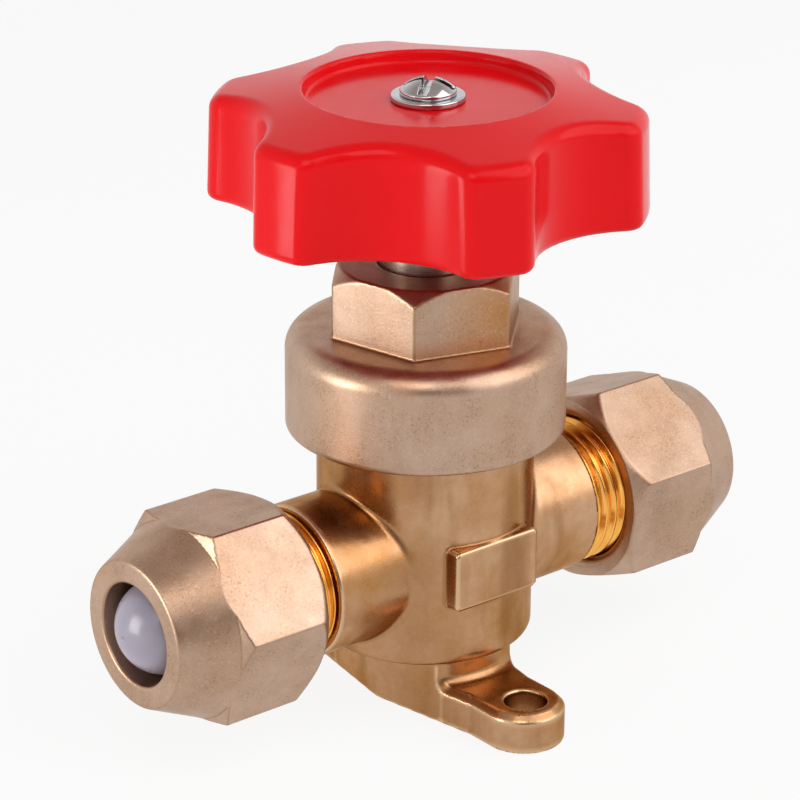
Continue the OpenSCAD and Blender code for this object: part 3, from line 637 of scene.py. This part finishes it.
def brass(name, colours, rim_tint, rough, grain, grain_depth, streaks, specks, painted_shade_and_browner_patches):
    """Brass with a toned surface, fine grain, dark streaks, specks, browner patches that are partly painted
    shade and reflection, lighter or darker edges, and painted shade in its corners.
    """
    material, tree, bsdf = shader(name)
    main, shade, stain, pale, corner, edge = colours
    tone = ramp(tree, noise(tree, 9, 4), 0.35, 0.68)
    base = mix(tree, tone, main, shade)
    mottle = ramp(tree, noise(tree, 1.1, 4, 0.65), 0.35, 0.75, 0.0, 0.35)
    base = mix(tree, mottle, base, shade)
    # Browner patches, partly a painted dark reflection and painted shade
    base = patches(tree, base, *painted_shade_and_browner_patches)
    streak = ramp(tree, noise(tree, 5, 3, 0.5, stretch=(1, 1, 0.18)), 0.5, 0.7, 0.0, streaks)
    base = mix(tree, streak, base, stain)
    speck = ramp(tree, noise(tree, 0.3, 4, 0.7), 0.52, 0.70, 0.0, specks)
    cluster = ramp(tree, noise(tree, 4.5, 2), 0.42, 0.62, 0.15, 1.0)
    clustered = add(tree, "Math", {0: speck, 1: cluster}, operation="MULTIPLY").outputs[0]
    base = mix(tree, clustered, base, stain)
    fleck = ramp(tree, noise(tree, 0.35, 4, 0.7), 0.54, 0.74, 0.0, specks / 2)
    base = mix(tree, fleck, base, pale)
    # Painted shade in concave corners and creases, where the surface bends inwards
    base = mix(tree, surface_bend(tree, -0.3, -0.8), base, corner)
    base = mix(tree, surface_bend(tree, 0.4, 1.0), base, edge)
    tree.links.new(base, bsdf.inputs["Base Color"])
    bsdf.inputs["Metallic"].default_value = 1.0
    bsdf.inputs["Specular Tint"].default_value = (*rim_tint, 1.0)
    uneven = ramp(tree, noise(tree, 2.5, 4), 0.3, 0.7, rough - 0.05, rough + 0.06)
    tree.links.new(uneven, bsdf.inputs["Roughness"])
    sand = bump(tree, noise(tree, grain, 3, 0.6), grain_depth, 1.0)
    waves = bump(tree, noise(tree, 3.2, 2), grain_depth * 1.6, 0.6, sand)
    tree.links.new(waves, bsdf.inputs["Normal"])
    return material


def turned_metal(name, colour, shade, rough, line, depth, axis):
    """Bright machined metal with fine turning lines across its axis, and painted shade in its recesses."""
    material, tree, bsdf = shader(name)
    stretch = tuple(1.0 if i == axis else 0.04 for i in range(3))
    lines = noise(tree, line, 3, 0.6, stretch=stretch)
    base = mix(tree, ramp(tree, lines, 0.3, 0.7), colour, shade)
    base = mix(tree, ramp(tree, noise(tree, 3, 3), 0.4, 0.7, 0.0, 0.5), base, shade)
    # Painted shade in recesses such as the screw's cross
    base = mix(tree, surface_bend(tree, -0.1, -0.6), base, PAINTED_RECESS_SHADE)
    tree.links.new(base, bsdf.inputs["Base Color"])
    bsdf.inputs["Metallic"].default_value = 1.0
    tree.links.new(ramp(tree, lines, 0.3, 0.7, rough - 0.04, rough + 0.05), bsdf.inputs["Roughness"])
    tree.links.new(bump(tree, lines, depth, 0.7), bsdf.inputs["Normal"])
    return material


def plastic(name, colour, shade, rough, pit, depth, gloss):
    """Moulded plastic with a slightly uneven skin."""
    material, tree, bsdf = shader(name)
    tone = ramp(tree, noise(tree, 12, 3), 0.3, 0.7)
    base = mix(tree, tone, colour, shade)
    tree.links.new(base, bsdf.inputs["Base Color"])
    tree.links.new(ramp(tree, noise(tree, 2.0, 4), 0.3, 0.7, rough - 0.03, rough + 0.04),
                   bsdf.inputs["Roughness"])
    bsdf.inputs["Specular IOR Level"].default_value = gloss
    skin = bump(tree, noise(tree, pit, 3), depth, 0.8)
    slow = bump(tree, noise(tree, 5.0, 2), depth * 2.5, 0.5, skin)
    tree.links.new(slow, bsdf.inputs["Normal"])
    return material


# Painted shade for the dark inside of recesses
PAINTED_RECESS_SHADE = (0.04, 0.03, 0.03)

# Where the brass is browner: a painted dark reflection on the barrel between the left arm and the pad,
# browner on the foot, painted shade on the hexagon's right flat and at its foot, and a small browner patch
# on the collar's rim
BODY_PATCHES = ((0.30, 0.13, 0.04), ((-9.6, -9.8, 22, 7, 0.6), (-9.6, -9.8, 13, 7, 0.6),
                                     (-8, -6, 1, 12, 0.7), (-2, -14, 0, 10, 0.6),
                                     (0, -22, 0, 9, 0.5), (0, 22, 0, 12, 0.5)))
BONNET_PATCHES = ((0.46, 0.20, 0.06), ((2.5, -11.9, 54, 9, 0.95), (9, -9, 51, 5, 0.8),
                                       (-13, -12, 49, 3, 0.5)))

MATERIALS = {
    "forged_brass": brass("forged brass",
                          ((0.57, 0.35, 0.21), (0.42, 0.20, 0.07), (0.24, 0.10, 0.03),
                           (0.78, 0.58, 0.42), (0.36, 0.17, 0.07), (0.66, 0.44, 0.26)),
                          (0.70, 0.56, 0.44), 0.27, 0.30, 0.008, 0.6, 0.25, BODY_PATCHES),
    "blasted_brass": brass("blasted brass",
                           ((0.53, 0.37, 0.275), (0.46, 0.29, 0.19), (0.17, 0.10, 0.06),
                            (0.74, 0.60, 0.50), (0.38, 0.21, 0.11), (0.40, 0.24, 0.15)),
                           (0.90, 0.86, 0.83), 0.36, 0.22, 0.020, 0.15, 0.7, BONNET_PATCHES),
    "turned_brass": turned_metal("turned brass", (1.0, 0.54, 0.12), (0.85, 0.36, 0.07),
                                 0.18, 0.12, 0.004, 0),
    "stainless": turned_metal("stainless", (0.74, 0.73, 0.72), (0.60, 0.59, 0.58), 0.22, 0.1, 0.002, 2),
    "spindle_steel": turned_metal("spindle steel", (0.52, 0.47, 0.42), (0.36, 0.31, 0.27),
                                  0.26, 0.12, 0.004, 2),
    "chrome": turned_metal("chrome", (0.58, 0.57, 0.58), (0.46, 0.45, 0.46), 0.13, 0.2, 0.001, 2),
    "red_plastic": plastic("red plastic", (0.79, 0.004, 0.008), (0.76, 0.003, 0.006),
                           0.18, 0.25, 0.0003, 0.15),
    "lilac_plastic": plastic("lilac plastic", (0.34, 0.31, 0.37), (0.27, 0.24, 0.30),
                             0.22, 0.3, 0.002, 0.5),
    "nylon": plastic("nylon", (0.86, 0.83, 0.76), (0.80, 0.77, 0.70), 0.45, 0.3, 0.004, 0.4),
    "rubber": plastic("rubber", (0.03, 0.03, 0.03), (0.05, 0.05, 0.05), 0.6, 0.3, 0.01, 0.4),
}


def dress(piece, material, body, *replaced):
    """Gives a new piece its finish, its body and the nodes that it stands for."""
    piece.data.materials.append(MATERIALS[material])
    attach(piece, body)
    if replaced:
        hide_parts(*replaced)
    return piece


def dress_frame_nodes():
    """Each frame node takes the finish of its slot."""
    for part in frame["record"]["subparts"]:
        mesh = frame["nodes"][part["node"]].data
        mesh.materials.clear()
        mesh.materials.append(MATERIALS[part["material_slot"]])


# Pieces

def build_body():
    forging = field_object("body_forging", body_field, BODY_LOW, BODY_HIGH, 0.42, 0.5)
    dress(forging, "forged_brass", "housing", "valve_body")
    for side in ("left", "right"):
        dress(thread_sleeve(side), "turned_brass", "housing")


def build_bonnet():
    shell = field_object("bonnet_shell", bonnet_field, BONNET_LOW, BONNET_HIGH, 0.34, 0.4)
    dress(shell, "blasted_brass", "housing", "bonnet")


def build_knob():
    moulding = field_object("knob_moulding", knob_field, KNOB_LOW, KNOB_HIGH, 0.42, 0.6)
    dress(moulding, "red_plastic", "stem_and_knob", "knob")
    washer = lathe("washer_rounded", washer_outline(), 96, closed=True)
    dress(washer, "chrome", "stem_and_knob", "knob_washer")
    screw = field_object("screw_pan_head", screw_field, SCREW_LOW, SCREW_HIGH, 0.13, 0.2)
    dress(screw, "chrome", "stem_and_knob", "knob_screw")


def washer_outline():
    """The washer's section, with rounded edges."""
    low, high = WASHER_LOW[2], WASHER_HIGH[2]
    outer, inner, soft = WASHER_HIGH[0], SCREW_R + 0.2, 0.2
    outline = arc((low + soft, outer - soft), soft, 180, 90, 5)
    outline += arc((high - soft, outer - soft), soft, 90, 0, 5)
    outline += arc((high - soft / 2, inner + soft / 2), soft / 2, 0, -90, 3)
    outline += arc((low + soft / 2, inner + soft / 2), soft / 2, -90, -180, 3)
    return outline


def build_diaphragms():
    """The three discs, copied from the frame nodes that the plunger's lift deforms, in the stainless
    finish.
    """
    lift = [joint for joint in frame["record"]["behaviour"]["joints"] if joint["name"] == "plunger_lift"][0]
    for entry in lift["deforming_nodes"]:
        node = entry["node"]
        if not node.startswith("diaphragm"):
            continue
        rim_z = entry["fixed_end_z_m"]
        depth = rim_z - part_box(node)[0][2]
        disc = bpy.data.objects.new(node + "_disc", frame["nodes"][node].data.copy())
        bpy.context.scene.collection.objects.link(disc)
        disc.data.materials.clear()
        dress(disc, "stainless", "housing", node)
        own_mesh(disc)


def build_nuts():
    for side in ("left", "right"):
        low, high = np.array(box_mm("flare_nut_" + side))
        longer = NUT_REACH[side] - NUT_HIGH[0]
        low, high = low - longer, high + longer
        nut = field_object(side + "_nut_faced", nut_field(side), low, high, 0.26, 0.3)
        dress(nut, "blasted_brass", side + "_nut", "flare_nut_" + side)


def build_plugs():
    for side in ("left", "right"):
        cap = lathe(side + "_plug_cap", plug_outline(), 96, "x", (0, PORT_Z),
                    mirrored=side == "left", closed=True)
        dress(cap, "lilac_plastic", side + "_plug", "flare_plug_" + side)


def plug_outline():
    """The thimble's section: a flared rim, a straight wall and a ball nose, and its hollow."""
    wall = 1.0
    nose_r = 6.0
    tip = PLUG_HIGH[0]
    centre = tip - nose_r
    rim_low = PLUG_LOW[0]
    rim_r = PLUG_HIGH[1]
    rim_in = rim_r - wall / math.sqrt(2)
    rim_out_x = rim_low + wall / math.sqrt(2)
    shoulder_x = rim_out_x + rim_r - nose_r
    hollow_r = nose_r - wall
    hollow_x = rim_low + rim_in - hollow_r
    outline = [(rim_low, rim_in), (rim_low + 0.1, rim_in + 0.15), (rim_out_x - 0.1, rim_r - 0.05)]
    outline += [(rim_out_x, rim_r), (shoulder_x - 0.15, nose_r + 0.15), (shoulder_x + 0.2, nose_r)]
    outline += arc((centre, 0), nose_r, 90, 1, 24)
    outline += arc((centre, 0), hollow_r, 1, 90, 16)
    outline += [(hollow_x + 0.1, hollow_r), (hollow_x - 0.1, hollow_r + 0.05)]
    return outline


# Studio

CAMERA_TURN = -39.904
CAMERA_RISE = 22.964
CAMERA_DISTANCE = 440.85
CAMERA_TARGET = (0, 0, 35.063)
CAMERA_PAN = 0.453
CAMERA_TILT = -0.514
CAMERA_ROLL = 0.311
IMAGE_SIDE = 800
FOCAL_PIXELS = 3495.5

# The share of plain white in the floor as it is seen, the light from all round, and the room
FLOOR_WHITE = 0.88
FILL = 0.38
ROOM = (0.50, 0.44, 0.41)
ROOM_FADE = (0.30, 0.80)
DARK_SIDE = (0.20, 0.13, 0.10)
CAMERA_SIDE = (-30, 8, 0.78, 0.96)


def direction(turn, rise):
    """The unit direction at a turn about +Z from -Y, and a rise above the horizon."""
    a, e = math.radians(turn), math.radians(rise)
    return Vector((math.sin(a) * math.cos(e), -math.cos(a) * math.cos(e), math.sin(e)))


def build_camera():
    data = bpy.data.cameras.new("camera")
    camera = bpy.data.objects.new("camera", data)
    bpy.context.scene.collection.objects.link(camera)
    data.sensor_width = 36.0
    data.lens = data.sensor_width * FOCAL_PIXELS / IMAGE_SIDE
    data.clip_start = 0.01
    place = Vector(CAMERA_TARGET) + direction(CAMERA_TURN, CAMERA_RISE) * CAMERA_DISTANCE
    back = direction(CAMERA_TURN + CAMERA_PAN, CAMERA_RISE + CAMERA_TILT)
    turn = math.radians(CAMERA_TURN + CAMERA_PAN)
    level = Vector((math.cos(turn), math.sin(turn), 0))
    over = back.cross(level)
    c, s = math.cos(math.radians(CAMERA_ROLL)), math.sin(math.radians(CAMERA_ROLL))
    right, up = c * level + s * over, c * over - s * level
    camera.matrix_world = Matrix.Translation(place * MM) @ Matrix((right, up, back)).transposed().to_4x4()
    bpy.context.scene.camera = camera


def seen_rays(tree):
    """One for what the camera sees, straight or in metal and glass, and zero for other light."""
    path = add(tree, "LightPath").outputs
    seen = add(tree, "Math", {0: path["Is Camera Ray"], 1: path["Is Glossy Ray"]}, operation="MAXIMUM")
    return add(tree, "Math", {0: seen.outputs[0], 1: path["Is Transmission Ray"]},
               operation="MAXIMUM").outputs[0]


def build_floor():
    half = 3000
    floor = mesh_object("floor", [(-half, -half, 0), (half, -half, 0), (half, half, 0), (-half, half, 0)],
                        [(0, 1, 2, 3)])
    material, tree, bsdf = shader("pale floor")
    cloud = ramp(tree, noise(tree, 60, 2), 0.3, 0.7)
    tree.links.new(mix(tree, cloud, (0.86, 0.86, 0.86), (0.84, 0.84, 0.84)), bsdf.inputs["Base Color"])
    bsdf.inputs["Roughness"].default_value = 1.0
    bsdf.inputs["Specular IOR Level"].default_value = 0.0
    white = add(tree, "Emission", {"Color": (1, 1, 1, 1), "Strength": 1.0}).outputs[0]
    share = add(tree, "Math", {0: seen_rays(tree), 1: FLOOR_WHITE}, operation="MULTIPLY").outputs[0]
    shown = add(tree, "MixShader", {0: share, 1: bsdf.outputs[0], 2: white})
    tree.links.new(shown.outputs[0], tree.nodes["Material Output"].inputs["Surface"])
    floor.data.materials.append(material)


def soft_light(name, turn, rise, distance, size, level):
    """A square lamp that faces the middle of the valve, as bright as a white card times its level."""
    data = bpy.data.lights.new(name, "AREA")
    data.shape = "RECTANGLE"
    data.size, data.size_y = size[0] * MM, size[1] * MM
    data.energy = level * math.pi * data.size * data.size_y
    lamp = bpy.data.objects.new(name, data)
    bpy.context.scene.collection.objects.link(lamp)
    aim = direction(turn, rise)
    lamp.location = (Vector((0, 0, 35)) + aim * distance) * MM
    lamp.visible_camera = False
    lamp.rotation_mode = "QUATERNION"
    lamp.rotation_quaternion = aim.to_track_quat("Z", "Y")


def above_horizon(tree, low, high):
    """How far a ray of the world points up, between two sines of its rise."""
    ray = add(tree, "TexCoord").outputs["Generated"]
    return ramp(tree, add(tree, "SeparateXYZ", {"Vector": ray}).outputs["Z"], low, high)


def towards(tree, turn, rise, low, high):
    """How far a ray of the world points at a direction, between two cosines."""
    ray = add(tree, "TexCoord").outputs["Generated"]
    made = add(tree, "VectorMath", {0: ray, 1: direction(turn, rise)}, operation="DOT_PRODUCT")
    return ramp(tree, made.outputs["Value"], low, high)


def build_light():
    world = bpy.data.worlds.new("studio")
    bpy.context.scene.world = world
    world.use_nodes = True
    tree = world.node_tree
    room = mix(tree, above_horizon(tree, *ROOM_FADE), (1, 1, 1), ROOM)
    room = mix(tree, towards(tree, *CAMERA_SIDE), room, DARK_SIDE)
    fill = add(tree, "Background", {"Color": (1, 1, 1, 1), "Strength": FILL})
    shown = add(tree, "Background", {"Color": room, "Strength": 1.0})
    both = add(tree, "MixShader", {0: seen_rays(tree), 1: fill.outputs[0], 2: shown.outputs[0]})
    tree.links.new(both.outputs[0], tree.nodes["World Output"].inputs["Surface"])
    soft_light("key", 32, 40, 650, (700, 660), 1.8)
    soft_light("front", -48, 46, 650, (330, 330), 2.5)
    soft_light("left", -104, 4.5, 200, (80, 90), 7.0)


def main():
    build_camera()
    dress_frame_nodes()
    build_body()
    build_bonnet()
    build_diaphragms()
    build_knob()
    build_nuts()
    build_plugs()
    build_floor()
    build_light()
    bpy.context.scene.view_settings.view_transform = "Standard"


main()
